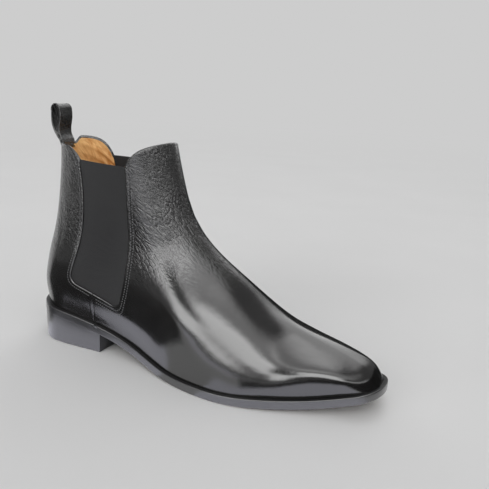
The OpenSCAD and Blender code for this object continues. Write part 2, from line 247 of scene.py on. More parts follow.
# --- Grid over the upper ---
# Columns of the side view split it into quarter, gore window and vamp, as in the CAD.
ROW_GORE, ROW_BEND, ROWS = 7, 9, 17
QUARTER, SEAM, VAMP, FRONT = 7, 10, 13, 27
top_back, top_gore_back, top_gore_front = 166.0, 156.5, 155.5
floor_back, floor_front = (45.5, 57.5), (96, 43)
floor_slope = (floor_back[1] - floor_front[1]) / (floor_front[0] - floor_back[0])
window_corner = 7.0
gore_back_x = spline([(20, 47), (45, 45.5), (57.5, 45.5), (83, 51), (104, 53.6), (124, 54),
                      (157, 48)])
gore_front_x = spline([(15, 90), (30, 93), (43, 96), (60, 100), (79, 101), (110, 99.5),
                       (135, 98.8), (156, 97.7)])


def gore_floor(x):
    """Height of the gore window's floor."""
    return floor_back[1] - floor_slope * (x - floor_back[0])


def column(line, foot_x, *heights):
    """Side view (x, z) up a line of the pattern, for rows of the grid."""
    def at(j):
        z = np.interp(j, [0, ROW_GORE, ROW_BEND, ROWS], [feather_z(foot_x), *heights])
        return np.stack([line(z), z], -1)

    return at


back_point = column(back_x, 3, 52, bend_z, top_back)
gore_back_point = column(gore_back_x, 47, floor_back[1], bend_z, top_gore_back)
gore_front_point = column(gore_front_x, 91, floor_front[1], 68, top_gore_front)


def ridge_point(j):
    low = 0.4 * (np.clip(j, 0, ROW_GORE) / ROW_GORE) ** 1.3
    high = np.interp(j, [ROW_GORE, ROW_BEND, ROWS], [0, 0.18, 0.6])
    return ridge(low + high)


def feather_edge(a, b, s):
    x = mix(a[..., 0], b[..., 0], s)
    return np.stack([x, feather_z(x)], -1)


def quarter_top(a, b, s):
    return np.stack([mix(a[..., 0], b[..., 0], s), mix(b[..., 1], a[..., 1], 1 - s ** 4)], -1)


def gore_top(a, b, s):
    return mix(a, b, s[..., None])


def vamp_top(a, b, s):
    lift = 0.5 * s + 0.5 * (1 - (1 - s) ** 4)
    return np.stack([mix(a[..., 0], b[..., 0], s), mix(a[..., 1], b[..., 1], lift)], -1)


def patch(left, right, top, s, j):
    """Points between two columns, on rows that end at the feather line and the topline."""
    low = 1 - ease(j / ROW_GORE)
    high = ease((j - ROW_BEND) / (ROWS - ROW_BEND))
    share = s[..., None]
    a0, b0, a1, b1 = left(0 * j), right(0 * j), left(0 * j + ROWS), right(0 * j + ROWS)
    return (mix(left(j), right(j), share)
            + (feather_edge(a0, b0, s) - mix(a0, b0, share)) * low[..., None]
            + (top(a1, b1, s) - mix(a1, b1, share)) * high[..., None])


def side_points(i, j):
    """Side view (x, z) of grid positions: i from the back to the ridge, j up the rows."""
    back = patch(back_point, gore_back_point, quarter_top,
                 1 - np.cos(np.clip(i / QUARTER, 0, 1) * np.pi / 2), j)
    k = np.clip((i - QUARTER) / (VAMP - QUARTER), 0, 1)
    middle = patch(gore_back_point, gore_front_point, gore_top, k - 0.3 * k * (1 - k), j)
    front = patch(gore_front_point, ridge_point, vamp_top,
                  np.sin(np.clip((i - VAMP) / (FRONT - VAMP), 0, 1) * np.pi / 2), j)
    return np.where((i <= QUARTER)[..., None], back,
                    np.where((i <= VAMP)[..., None], middle, front))


def collar_lift(i, j):
    """How much higher the collar stands on the medial side."""
    s = 1 - np.cos(np.clip(i / QUARTER, 0, 1) * np.pi / 2)
    return (5 * ease((s - 0.1) / 0.14) * (1 - s ** 6)
            * ease((j - ROW_BEND) / (ROWS - ROW_BEND)))


def spread(*spans):
    """Positions along an axis of the grid: (from, to, steps) spans, end to end."""
    parts = [np.linspace(a, b, n, endpoint=False) for a, b, n in spans]
    return np.concatenate(parts + [[spans[-1][1]]])


half_cols = spread((0, QUARTER, 34), (QUARTER, VAMP, 40), (VAMP, FRONT, 84))
row_steps = spread((0, ROW_GORE, 44), (ROW_GORE, ROW_BEND, 14), (ROW_BEND, ROWS, 66))
around = 2 * (len(half_cols) - 1)
columns = np.concatenate([half_cols, half_cols[-2:0:-1]])
sides = np.where(np.arange(around) < len(half_cols), LATERAL, MEDIAL)
grid_i, grid_j = np.meshgrid(columns, row_steps)
flat_view = side_points(grid_i, grid_j)
flat_view[..., 1] += np.where(sides == MEDIAL, collar_lift(grid_i, grid_j), 0)
view_x, view_z = flat_view[..., 0], flat_view[..., 1]


def normals_of(points):
    across = np.roll(points, -1, axis=1) - np.roll(points, 1, axis=1)
    up = np.gradient(points, axis=0)
    normal = np.cross(across, up)
    return normal / np.maximum(np.linalg.norm(normal, axis=-1, keepdims=True), 1e-9)


def hump(x, centre, width):
    return np.exp(-((x - centre) / width) ** 2)


def creases(x, z):
    """Height of the soft folds that the leather keeps round the ankle and the instep."""
    ankle = sum(height * hump(z - 0.35 * (x - 110), at, 3.2) * hump(x, 128, 26)
                for at, height in ((92, -0.5), (100, 0.35), (108, -0.45), (117, 0.25),
                                   (127, -0.3)))
    instep = sum(height * hump(x + 0.8 * z, at, 4.5) * hump(z, 88, 22)
                 for at, height in ((196, -0.4), (207, 0.3), (219, -0.45), (232, 0.25)))
    heel = -0.5 * hump(z + 0.25 * x, 92, 4) * hump(x, 26, 16)
    waves = (np.sin(0.5 * x + 0.9 * np.sin(0.06 * z)) * np.sin(0.045 * z + 0.6)
             * hump(x, 30, 13) * hump(z, 115, 32))
    return 0.25 * (ankle + instep + heel) + 0.22 * waves


def surface():
    """The upper's outer surface: a closed tube of points from feather line to topline."""
    y = np.where(sides == LATERAL, -boot_half(view_x, view_z, LATERAL),
                 boot_half(view_x, view_z, MEDIAL))
    y[:, 0] = 0
    y[:, len(half_cols) - 1] = 0
    points = np.stack([view_x, y, view_z], -1)
    normal = normals_of(points)
    return points + normal * creases(view_x, view_z)[..., None]


skin = surface()
skin_normal = normals_of(skin)


# --- Pattern lines, as signed distances in the side view ---
def window(grow=0.0):
    """Positive inside the gore's window, grown by so much, with round lower corners."""
    gaps = [view_x - gore_back_x(view_z) + grow, gore_front_x(view_z) - view_x + grow,
            (view_z - gore_floor(view_x)) / math.hypot(1, floor_slope) + grow]
    radius = window_corner + grow
    corner = np.sqrt(sum(np.maximum(radius - gap, 0) ** 2 for gap in gaps))
    return np.where(corner > 0, radius - corner, np.minimum.reduce(gaps))


def seam_ahead():
    """Distance ahead of the seam that runs from the window's floor to the feather line."""
    return view_x - (66.5 + 0.10 * (view_z - 24))


window_field = window()
seam_field = np.where(view_z < 62, seam_ahead(), view_x - 72)


# --- Meshes ---
def shift(points):
    """Millimetres from the heel's back to metres in the row frame."""
    return np.asarray(points, float) * MM + np.array([heel_back, 0, 0])


def new_object(name, vertices, faces):
    mesh = bpy.data.meshes.new(name)
    mesh.from_pydata([tuple(v) for v in vertices], [], faces)
    mesh.validate()
    mesh.polygons.foreach_set("use_smooth", [True] * len(mesh.polygons))
    obj = bpy.data.objects.new(name, mesh)
    bpy.context.scene.collection.objects.link(obj)
    return obj


def clean(obj):
    """Welds points that meet and turns every face outwards."""
    work = bmesh.new()
    work.from_mesh(obj.data)
    bmesh.ops.remove_doubles(work, verts=work.verts, dist=5e-6)
    bmesh.ops.recalc_face_normals(work, faces=work.faces)
    work.to_mesh(obj.data)
    work.free()
    return obj


def tube(rings, size, start=0):
    """Faces of an open tube of rings, each of size points, numbered from start."""
    return [[q + m, q + (m + 1) % size, q + size + (m + 1) % size, q + size + m]
            for q in range(start, start + (rings - 1) * size, size) for m in range(size)]


def closed_tube(rings, size, start=0):
    """Faces of a tube with both ends closed."""
    last = start + (rings - 1) * size
    return tube(rings, size, start) + [list(range(start, start + size))[::-1],
                                       list(range(last, last + size))]


def add_uv(obj, coordinates):
    """A UV layer from one (u, v) pair for each vertex."""
    layer = obj.data.uv_layers.new(name="flat")
    index = np.empty(len(obj.data.loops), int)
    obj.data.loops.foreach_get("vertex_index", index)
    layer.data.foreach_set("uv", np.asarray(coordinates, float)[index].ravel())


class Clip:
    """The part of the surface grid where a field is positive, cut exactly at its zero."""

    def __init__(self, field):
        self.field = field
        self.ids = {}
        self.spots = []
        self.faces = []
        kept = field > 0
        for r in range(field.shape[0] - 1):
            row = kept[r] | kept[r + 1]
            for c in np.nonzero(row | np.roll(row, -1))[0]:
                self.cell(r, int(c))

    def vertex(self, r, c):
        return self.spot(("v", r, c), [(r, c, 1.0)])

    def spot(self, key, parts):
        if key not in self.ids:
            self.ids[key] = len(self.spots)
            self.spots.append(parts)
        return self.ids[key]

    def crossing(self, a, b):
        a, b = min(a, b), max(a, b)
        fa, fb = self.field[a], self.field[b]
        share = fa / (fa - fb)
        if share < 0.02:
            return self.vertex(*a)
        if share > 0.98:
            return self.vertex(*b)
        return self.spot((a, b), [(*a, 1 - share), (*b, share)])

    def cell(self, r, c):
        wide = self.field.shape[1]
        corners = [(r, c), (r, (c + 1) % wide), (r + 1, (c + 1) % wide), (r + 1, c)]
        loop = []
        for a, b in zip(corners, corners[1:] + corners[:1]):
            if self.field[a] > 0:
                loop.append(self.vertex(*a))
            if (self.field[a] > 0) != (self.field[b] > 0):
                loop.append(self.crossing(a, b))
        loop = [v for k, v in enumerate(loop) if v != loop[k - 1]]
        if len(loop) > 2:
            self.faces.append(loop)

    def sample(self, *grids):
        """Values of grids at the clip's vertices."""
        return [np.array([sum(grid[r, c] * w for r, c, w in parts) for parts in self.spots])
                for grid in grids]

    def rim(self):
        """Directed edges on the border, with the cut piece on their left."""
        edges = {(a, b) for face in self.faces for a, b in zip(face, face[1:] + face[:1])}
        return [(a, b) for a, b in edges if (b, a) not in edges]


def rim_outward(count, rim, points, normal):
    """Unit direction out over the border, in the surface, for each border vertex."""
    outward = np.zeros((count, 3))
    for a, b in rim:
        away = np.cross(points[b] - points[a], (normal[a] + normal[b]) / 2)
        length = np.linalg.norm(away)
        if length > 1e-9:
            outward[a] += away / length
            outward[b] += away / length
    size = np.linalg.norm(outward, axis=1, keepdims=True)
    return outward / np.maximum(size, 1e-9)


def flat_uv(points):
    """Rough flat coordinates over the surface, in centimetres, for weave and ribs."""
    return np.stack([points[:, 0] + 0.4 * np.abs(points[:, 1]), points[:, 2]], 1) / 10


def panel(name, field, top, bottom, edge_steps=4, rise=None, fold=None):
    """A sheet of the upper between two depths under its surface, with a rounded edge.

    rise is an extra height for each grid point, such as a padded edge, and fold an extra
    depth, such as leather that is turned over along the topline.
    """
    clip = Clip(field)
    points, normal = clip.sample(skin, skin_normal)
    normal /= np.linalg.norm(normal, axis=1, keepdims=True)
    lift = clip.sample(rise)[0] if rise is not None else np.zeros(len(points))
    outer = points + normal * (lift - top)[:, None]
    if fold is not None:
        bottom = bottom + clip.sample(fold)[0][:, None]
    inner = points - normal * bottom
    rim = clip.rim()
    away = rim_outward(len(points), rim, points, normal)
    count = len(points)
    vertices = [outer, inner]
    faces = [list(f) for f in clip.faces]
    faces += [[v + count for v in reversed(f)] for f in clip.faces]
    border = sorted({v for edge in rim for v in edge})
    where = {v: k for k, v in enumerate(border)}
    middle, reach = (outer + inner) / 2, np.linalg.norm(outer - inner, axis=1) / 2
    rings = []
    base = 2 * count
    for step in range(1, edge_steps):
        angle = math.pi * step / edge_steps
        ring = (middle + normal * (reach * math.cos(angle))[:, None]
                + away * (reach * math.sin(angle))[:, None])[border]
        rings.append(base)
        base += len(border)
        vertices.append(ring)
    for a, b in rim:
        down_a = [a] + [k + where[a] for k in rings] + [a + count]
        down_b = [b] + [k + where[b] for k in rings] + [b + count]
        faces += [list(f) for f in zip(down_a, down_a[1:], down_b[1:], down_b)]
    vertices = np.concatenate(vertices)
    obj = new_object(name, shift(vertices), faces)
    add_uv(obj, flat_uv(vertices))
    return obj


# --- Upper ---
OUTSIDE = -1e6
below_top = (ROWS - grid_j) * 12.5


def on_side(field, side):
    return np.where(sides == side, field, OUTSIDE)


def centre_column(field, side):
    """A side's field, kept up to and including the centre lines at back and ridge."""
    kept = on_side(field, side).copy()
    for c in (0, len(half_cols) - 1):
        kept[:, c] = field[:, c]
    return kept


outside_window = -window_field
vamp_field = np.minimum(seam_field, outside_window)
quarter_field = np.minimum(-seam_field, outside_window)
# The leather swells a little between the edge of the window and its row of stitches.
edge_swell = (0.12 * hump(outside_window, 0.9, 0.8) - 0.1 * hump(outside_window, 2.6, 0.8)
              ) * (outside_window > -1)
seam_swell = np.where(view_z < 56, 0.3 * hump(seam_field, 0.7, 0.6)
                      - 0.35 * hump(seam_field, -0.5, 0.6), 0)
# Along the topline the leather is turned over the lining's edge.
topline_fold = (middle_t + 0.25) * ease((3.2 - below_top) / 1.6)


def bend_back(obj):
    """Bakes the piece's transform into its mesh."""
    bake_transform(obj)
    return obj


def stretch_gore(obj):
    """Bakes the elastic's transform into its mesh."""
    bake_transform(obj)
    return obj


def make_upper():
    leather = {"rise": edge_swell + seam_swell, "fold": topline_fold}
    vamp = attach(panel("vamp_leather", vamp_field, 0, leather_t - 0.02, **leather), "boot")
    made = {"vamp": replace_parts(vamp, "vamp")}
    for side, word in ((LATERAL, "lateral"), (MEDIAL, "medial")):
        obj = panel(f"quarter_{word}", centre_column(quarter_field, side), 0,
                    leather_t - 0.02, **leather)
        bend_back(obj)
        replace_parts(obj, f"quarter_{word}_lower", f"quarter_{word}_upper")
        made[f"quarter_{word}"] = obj
        elastic = np.minimum(centre_column(window(grow=4.0), side), below_top + 0.01)
        obj = panel(f"elastic_{word}", elastic, leather_t + 0.05, leather_t + middle_t - 0.05)
        stretch_gore(obj)
        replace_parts(obj, f"gore_{word}")
        made[f"gore_{word}"] = obj
    return made


def make_back_strip():
    across = np.abs(skin[..., 1])
    near_back = (view_x < back_x(view_z) + 12) & (view_x < 60)
    field = np.where(near_back, 4.0 - across, OUTSIDE)
    field = np.where(field > -4, field, OUTSIDE)
    obj = panel("back_strip", field, -0.85, -0.02, rise=0.15 * hump(across, 0, 1.6))
    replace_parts(bend_back(obj), "back_strip_lower", "back_strip_upper")
    return obj


def make_lining():
    top, bottom = leather_t + middle_t, leather_t + middle_t + lining_t
    lower_edge = below_top - 1.3
    lining_window = -window(grow=-0.6)
    slant = 0.85 * view_z + 0.5 * view_x + 2.2 * np.sin(0.11 * view_x + 0.4)
    wrinkles = 0.9 * (0.5 + 0.5 * np.sin(slant)) ** 2 * ease((below_top - 2) / 7) * (
        0.45 + 0.55 * np.sin(0.06 * view_z + 0.09 * view_x + 1) ** 2)
    back = panel("lining_back", np.minimum.reduce([-seam_field, lining_window, lower_edge]),
                 top, bottom, fold=wrinkles)
    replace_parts(bend_back(back), "quarter_lining_lower", "quarter_lining_upper")
    front = panel("lining_front", np.minimum.reduce([seam_field, lining_window, lower_edge]),
                  top, bottom, fold=wrinkles)
    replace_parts(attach(front, "boot"), "vamp_lining")
    return [back, front]


# --- Stitching ---
def surface_frame(view, side):
    """Positions and outward normals on the upper for points (x, z) of its side view."""
    x, z = np.asarray(view, float).T
    step = 0.3
    half = boot_half(x, z, side)
    slope_x = (boot_half(x + step, z, side) - boot_half(x - step, z, side)) / (2 * step)
    slope_z = (boot_half(x, z + step, side) - boot_half(x, z - step, side)) / (2 * step)
    normal = np.stack([-slope_x, np.full_like(x, side), -slope_z], 1)
    normal /= np.linalg.norm(normal, axis=1, keepdims=True)
    points = np.stack([x, side * half, z], 1)
    return points + normal * creases(x, z)[:, None], normal


def walk(line, pitch):
    """Evenly spaced points along a line, and the unit direction at each."""
    gaps = np.linalg.norm(np.diff(line, axis=0), axis=1)
    at = np.concatenate([[0], np.cumsum(gaps)])
    spots = np.arange(pitch / 2, at[-1], pitch)
    points, ahead, behind = (np.stack([np.interp(spots + off, at, row) for row in line.T], 1)
                             for off in (0, 0.2, -0.2))
    along = ahead - behind
    return points, along / np.linalg.norm(along, axis=1, keepdims=True)


def stitches(name, line, normal, pitch=2.1, length=1.3, width=0.8, height=0.42):
    """A row of sewn stitches: long beads that dip into the leather at both ends."""
    spots, along = walk(np.hstack([line, normal]), pitch)
    points, up = spots[:, :3], spots[:, 3:]
    along = along[:, :3] / np.linalg.norm(along[:, :3], axis=1, keepdims=True)
    vertices, faces = [], []
    stations = np.linspace(-1, 1, 7)
    spokes = 6
    for p, n, a in zip(points, up, along):
        across = np.cross(n, a)
        start = len(vertices)
        for s in stations:
            girth = math.sqrt(max(1 - s * s, 0.02))
            centre = p + a * (s * length / 2) - n * (0.12 * s * s)
            for k in range(spokes):
                angle = 2 * math.pi * k / spokes
                vertices.append(centre + across * (girth * width / 2 * math.cos(angle))
                                + n * (girth * height * math.sin(angle)))
        faces += closed_tube(len(stations), spokes, start)
    return new_object(name, shift(vertices), faces)


def fillet(before, corner, after, radius):
    """Points of a round corner between two lines that meet at corner."""
    start = corner + (before - corner) / np.linalg.norm(before - corner) * radius
    end = corner + (after - corner) / np.linalg.norm(after - corner) * radius
    t = np.linspace(0, 1, 12)[:, None]
    return (1 - t) ** 2 * start + 2 * t * (1 - t) * corner + t ** 2 * end


def window_outline(grow):
    """Back edge, floor and front edge of the window at a distance outside its edge."""
    radius = window_corner + grow
    drop = grow * math.hypot(1, floor_slope)
    corner_back, corner_front = (np.array([x, gore_floor(x) - drop]) for x in
                                 (floor_back[0] - grow, floor_front[0] + grow))
    down = np.linspace(top_gore_back - 0.5, corner_back[1] + radius, 40)
    back = np.stack([gore_back_x(down) - grow, down], 1)
    up = np.linspace(corner_front[1] + radius, top_gore_front + 4, 40)
    front = np.stack([gore_front_x(up) + grow, up], 1)
    return (np.concatenate([back, fillet(back[-1], corner_back, corner_front, radius)]),
            np.concatenate([fillet(corner_back, corner_front, front[0], radius), front]))


def make_stitching():
    """Rows of black thread: two round the window's front, one round its back and floor."""
    made = []
    near, far, joint_x = 2.4, 5.0, 68.0
    under_back = [[joint_x - 1.5, gore_floor(joint_x) - 2.5]]
    under_front = np.array([[joint_x + 4.5, gore_floor(joint_x + 6) - 2.5]])
    for side, word in ((LATERAL, "lateral"), (MEDIAL, "medial")):
        row = surface_frame(np.concatenate([window_outline(near)[0], under_back]), side)
        made.append(bend_back(stitches(f"stitch_quarter_{word}", *row)))
        for k, grow in enumerate((near, far)):
            start = under_front - [[0, grow - near]]
            row = surface_frame(np.concatenate([start, window_outline(grow)[1]]), side)
            made.append(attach(stitches(f"stitch_vamp_{word}_{k + 1}", *row), "boot"))
    return made


# --- Pull tab ---
tab_width = (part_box("pull_tab")[1].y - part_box("pull_tab")[0].y) / MM
tab_t = 1.5
tab_height = 29.0
tab_foot = np.array([back_x(166) + leather_t + middle_t / 2, 169.0])
tab_lean = math.radians(19)
crown_rise = 4.5


def tab_line():
    """The strap's middle line in side view, from the sewn end round the loop and back."""
    t = np.linspace(0, 1, 24)
    rise = (tab_height - crown_rise) * t
    back = np.stack([-1 - 3.12 * np.sin(np.pi * t), rise], 1)
    front = np.stack([1 + 6.4 * t ** 2 - 1.2 * np.sin(2 * np.pi * t), rise], 1)[::-1]
    middle, reach = (back[-1] + front[0]) / 2, (front[0] - back[-1])[0] / 2
    angle = np.radians(np.arange(168, 11, -12))
    crown = middle + np.stack([reach * np.cos(angle), crown_rise * np.sin(angle)], 1)
    sewn = np.stack([np.linspace(-0.8, -1, 6), np.linspace(-7, -0.8, 6)], 1)
    loop = np.concatenate([sewn, back, crown, front, (sewn * [-1, 1])[::-1]])
    turn = np.array([[math.cos(tab_lean), math.sin(tab_lean)],
                     [-math.sin(tab_lean), math.cos(tab_lean)]])
    return loop @ turn + tab_foot


def strap(name, line, width, thickness):
    """A flat strap swept along a line of the side view, with rounded long edges."""
    ahead = np.gradient(line, axis=0)
    ahead /= np.linalg.norm(ahead, axis=1, keepdims=True)
    out = np.stack([-ahead[:, 1], ahead[:, 0]], 1)
    half_w, half_t = width / 2, thickness / 2
    section = [(-half_w + half_t * (1 - math.cos(a)), half_t * math.sin(a))
               for a in np.linspace(-math.pi / 2, math.pi / 2, 7)]
    flats = [(w, half_t) for w in np.linspace(-half_w + 2.2, half_w - 2.2, 7)]
    ring = [(w, t) for w, t in section] + flats
    ring += [(-w, -t) for w, t in section] + [(-w, -t) for w, t in flats]
    vertices = []
    for k, (p, n) in enumerate(zip(line, out)):
        curl = 0.35 * math.sin(math.pi * k / (len(line) - 1))
        for w, t in ring:
            lift = t + curl * (2 * w / width) ** 2
            vertices.append((p[0] + n[0] * lift, w, p[1] + n[1] * lift))
    size = len(ring)
    obj = new_object(name, shift(vertices), closed_tube(len(line), size))
    run = np.concatenate([[0], np.cumsum(np.linalg.norm(np.diff(line, axis=0), axis=1))])
    add_uv(obj, [(run[k] / 10, w / 10) for k in range(len(line)) for w, _ in ring])
    return obj


def make_pull_tab():
    loop = clean(strap("pull_tab_strap", tab_line(), tab_width, tab_t))
    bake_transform(loop)
    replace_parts(loop, "pull_tab", "pull_tab_anchor")
    return loop


# --- Bottom ---
def round_edge(radius):
    """(inset, height) pairs from the face of a slab round its edge to its side."""
    turn = np.linspace(0, math.pi / 2, 5)
    return [(radius * (1 - math.sin(a)), radius * (1 - math.cos(a))) for a in turn]


def outline(inset, end, count):
    """Plan of the sole, drawn in by inset and cut off square at end.

    It runs down the lateral side and back up the medial side.
    """
    low, high = inset, min(end, sole_length) - inset
    x = low + (high - low) * (1 - np.cos(np.linspace(0, np.pi, count))) / 2
    lateral = np.stack([x, -sole_half(x, LATERAL, inset)], 1)
    medial = np.stack([x, sole_half(x, MEDIAL, inset)], 1)
    return np.concatenate([lateral, medial[::-1]])


def slab(name, low, high, insets, radii, end=1e3):
    """A layer of the bottom between the heights low(x) and high(x), with rounded edges.

    Its side is a stack of outlines, and its two faces are strips across them.
    """
    count, cuts = 80, 8
    levels = [(insets[0] + pull, low, off) for pull, off in round_edge(radii[0])]
    levels += [(insets[0], low, radii[0] + 0.3), (insets[1], high, -radii[1] - 0.3)]
    levels += [(insets[1] + pull, high, -off) for pull, off in reversed(round_edge(radii[1]))]
    size = 2 * count
    vertices, faces = [], tube(len(levels), size)
    for inset, line, off in levels:
        ring = outline(inset, end, count)
        vertices += [(x, y, z) for (x, y), z in zip(ring, line(ring[:, 0]) + off)]
    for base in (0, (len(levels) - 1) * size):
        rows = []
        for m in range(count):
            a, b = base + m, base + size - 1 - m
            pa, pb = np.array(vertices[a]), np.array(vertices[b])
            row = [a] + list(range(len(vertices), len(vertices) + cuts - 1)) + [b]
            vertices += [tuple(mix(pa, pb, cut / cuts)) for cut in range(1, cuts)]
            rows.append(row)
        faces += [[one[k], two[k], two[k + 1], one[k + 1]]
                  for one, two in zip(rows[:-1], rows[1:]) for k in range(cuts)]
    obj = new_object(name, shift(vertices), faces)
    add_uv(obj, [(v[0] / 10, v[1] / 10) for v in vertices])
    return clean(obj)


def rim_ring(name, start, tip, width=9.0, inset=0.05):
    """The welt or the rand: a strip on the sole's edge from start to the tip, both sides."""
    count = 90
    section = [(inset + pull, outsole_t + off) for pull, off in round_edge(0.03)]
    section += [(inset, outsole_t + 0.4)]
    section += [(inset + pull, feather_t - off) for pull, off in reversed(round_edge(0.7))]
    section += [(inset + width, feather_t - 0.03), (inset + width, outsole_t + 0.03)]
    reach = np.sin(np.linspace(0, math.pi / 2, count))
    vertices = []
    for side, share in [(LATERAL, s) for s in reach] + [(MEDIAL, s) for s in reach[::-1]]:
        for pull, height in section:
            end = pull if tip < start else tip - pull
            x = start + (end - start) * share
            half = float(sole_half(x, side, pull))
            vertices.append((x, side * half, float(sole_z(x)) + height))
    size = len(section)
    last = (2 * count - 1) * size
    faces = tube(2 * count, size) + [range(size), range(last, last + size)]
    obj = new_object(name, shift(vertices), faces)
    add_uv(obj, [(v[0] / 10, v[2] / 10) for v in vertices])
    return clean(obj)


def level(height):
    return lambda x: np.full_like(x, height)


def above_sole(height):
    return lambda x: sole_z(x) + height


def make_bottom():
    """The sole and its edge strips, and the heel's stack: one slab for each layer."""
    low, middle, wedge = heel_steps
    welt_start, hair = 70, 0.02
    made = {
        "outsole": slab("outsole_leather", above_sole(0), above_sole(outsole_t), (0, 0),
                        (0.35, 0.03)),
        "welt": rim_ring("welt_strip", welt_start, sole_length),
        "heel_rand": rim_ring("heel_rand_strip", welt_start, 0),
        "top_piece": slab("top_piece_rubber", level(0), level(low), (0.9, 0.7), (0.5, 0.03),
                          heel_length),
        "heel_lift_1": slab("heel_lift_low", level(low), level(middle), (0.7, 0.5),
                            (hair, hair), heel_length),
        "heel_lift_2": slab("heel_lift_middle", level(middle), level(wedge), (0.5, 0.3),
                            (hair, hair), heel_length),
        "heel_lift_3": slab("heel_lift_wedge", level(wedge), above_sole(0), (0.3, 0.15),
                            (hair, hair), heel_length),
    }
    for node, obj in made.items():
        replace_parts(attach(obj, "boot"), node)
    return made


def make_nails(count=7):
    """Brass pins in the heel's top piece: short rods with slightly domed ends."""
    spokes, vertices, faces = 20, [], []
    rings = [(0.0, -0.06), (0.5, -0.04), (0.8, 0.02), (0.9, 0.12), (0.9, 9.3), (0.0, 9.3)]
    for k in range(count):
        angle = math.radians(40 + 280 * k / (count - 1))
        middle = np.array([heel_length / 2 + 26 * math.cos(angle), 22 * math.sin(angle)])
        start = len(vertices)
        for radius, z in rings:
            vertices += [(middle[0] + radius * math.cos(2 * math.pi * m / spokes),
                          middle[1] + radius * math.sin(2 * math.pi * m / spokes), z)
                         for m in range(spokes)]
        faces += tube(len(rings), spokes, start)
    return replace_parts(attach(clean(new_object("heel_pins", shift(vertices), faces)), "boot"),
                       "heel_nails")


# --- Between the leather and the lining ---
def make_stiffeners():
    """Heel counter, toe puff and interlinings, each a sheet of the middle layer."""
    top, bottom = leather_t + 0.03, leather_t + middle_t - 0.03
    clear = -window(grow=4.4)
    behind_tab = np.where((view_z > 156) & (view_x < 60),
                          np.abs(skin[..., 1]) - tab_width / 2 - 0.8, -OUTSIDE)
    puff_line = view_x - 262 - 0.5 * np.maximum(view_z - 22, 0)
    under_collar = below_top - 3.6

    def layer(name, *fields):
        return panel(name, np.minimum.reduce(fields), top, bottom, edge_steps=2)

    counter = layer("heel_counter_board", -seam_field - bend_gap, clear,
                    bend_z - bend_gap - view_z)
    doubler = layer("quarter_cloth", -seam_field - bend_gap, clear,
                    view_z - bend_z - bend_gap, under_collar, behind_tab)
    puff = layer("toe_puff_board", puff_line - 0.3)
    vamp_cloth = layer("vamp_cloth", seam_field, clear, -puff_line - 0.3, under_collar)
    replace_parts(bend_back(counter), "heel_counter")
    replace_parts(bend_back(doubler), "quarter_interlining")
    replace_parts(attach(puff, "boot"), "toe_puff")
    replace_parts(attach(vamp_cloth, "boot"), "vamp_interlining")
    return {"heel_counter": counter, "quarter_interlining": doubler, "toe_puff": puff,
            "vamp_interlining": vamp_cloth}


# --- Materials ---
class Nodes:
    """A node tree and short ways to add to it."""

    def __init__(self, tree):
        self.tree = tree

    def node(self, kind, inputs, output=0, **settings):
        node = self.tree.nodes.new("ShaderNode" + kind)
        for key, value in settings.items():
            setattr(node, key, value)
        for socket, value in inputs.items():
            if isinstance(value, bpy.types.NodeSocket):
                self.tree.links.new(value, node.inputs[socket])
            else:
                node.inputs[socket].default_value = value
        return node.outputs[output]

    def math(self, operation, a, b=0.0):
        return self.node("Math", {0: a, 1: b}, operation=operation)

    def range(self, value, low, high, to_low=0.0, to_high=1.0):
        return self.node("MapRange", {"Value": value, "From Min": low, "From Max": high,
                                      "To Min": to_low, "To Max": to_high},
                         interpolation_type="SMOOTHSTEP")


class Look(Nodes):
    """A procedural material: its shader, and short ways to put nodes in front of it."""

    def __init__(self, name, sockets):
        self.material = bpy.data.materials.new(name)
        self.material.use_nodes = True
        super().__init__(self.material.node_tree)
        self.shader = self.tree.nodes["Principled BSDF"]
        for socket, value in sockets.items():
            self.shader.inputs[socket].default_value = value

    def plug(self, socket, value):
        self.tree.links.new(value, self.shader.inputs[socket])

    def where(self, stretch=(1, 1, 1), turn=0.0, kind="Object"):
        """Texture coordinates: metres in the row frame, or centimetres over the skin (UV).

        Patterns put on them are stretched along x, y and z, then turned about y.
        """
        source = self.node("TexCoord", {}, kind)
        return self.node("Mapping", {"Vector": source, "Rotation": (0, turn, 0),
                                     "Scale": stretch}, vector_type="TEXTURE")

    def noise(self, spot, scale, detail=2.0, roughness=0.5, distortion=0.0):
        return self.node("TexNoise", {"Vector": spot, "Scale": scale, "Detail": detail,
                                      "Roughness": roughness, "Distortion": distortion})

    def cells(self, spot, scale, feature="DISTANCE_TO_EDGE"):
        return self.node("TexVoronoi", {"Vector": spot, "Scale": scale}, "Distance",
                         feature=feature)

    def bands(self, spot, scale, direction="X"):
        return self.node("TexWave", {"Vector": spot, "Scale": scale, "Detail": 1.0}, 1,
                         wave_type="BANDS", bands_direction=direction)

    def weigh(self, a, share_a, b, share_b):
        """The sum of two values, each times its share."""
        return self.math("ADD", self.math("MULTIPLY", a, share_a),
                         self.math("MULTIPLY", b, share_b))

    def height(self, axis):
        """The x, y or z of the shaded point, in metres."""
        return self.node("SeparateXYZ", {0: self.node("TexCoord", {}, "Object")}, axis)

    def colours(self, value, *stops):
        """A colour that runs through (place, (r, g, b)) stops as value goes from 0 to 1."""
        output = self.node("ValToRGB", {"Fac": value}, "Color")
        ramp = output.node.color_ramp
        for k, (place, colour) in enumerate(stops):
            element = ramp.elements[k] if k < 2 else ramp.elements.new(place)
            element.position = place
            element.color = (*colour, 1)
        return output

    def bump(self, height, distance, strength=1.0, under=None):
        inputs = {"Height": height, "Distance": distance, "Strength": strength}
        if under is not None:
            inputs["Normal"] = under
        return self.node("Bump", inputs, "Normal")


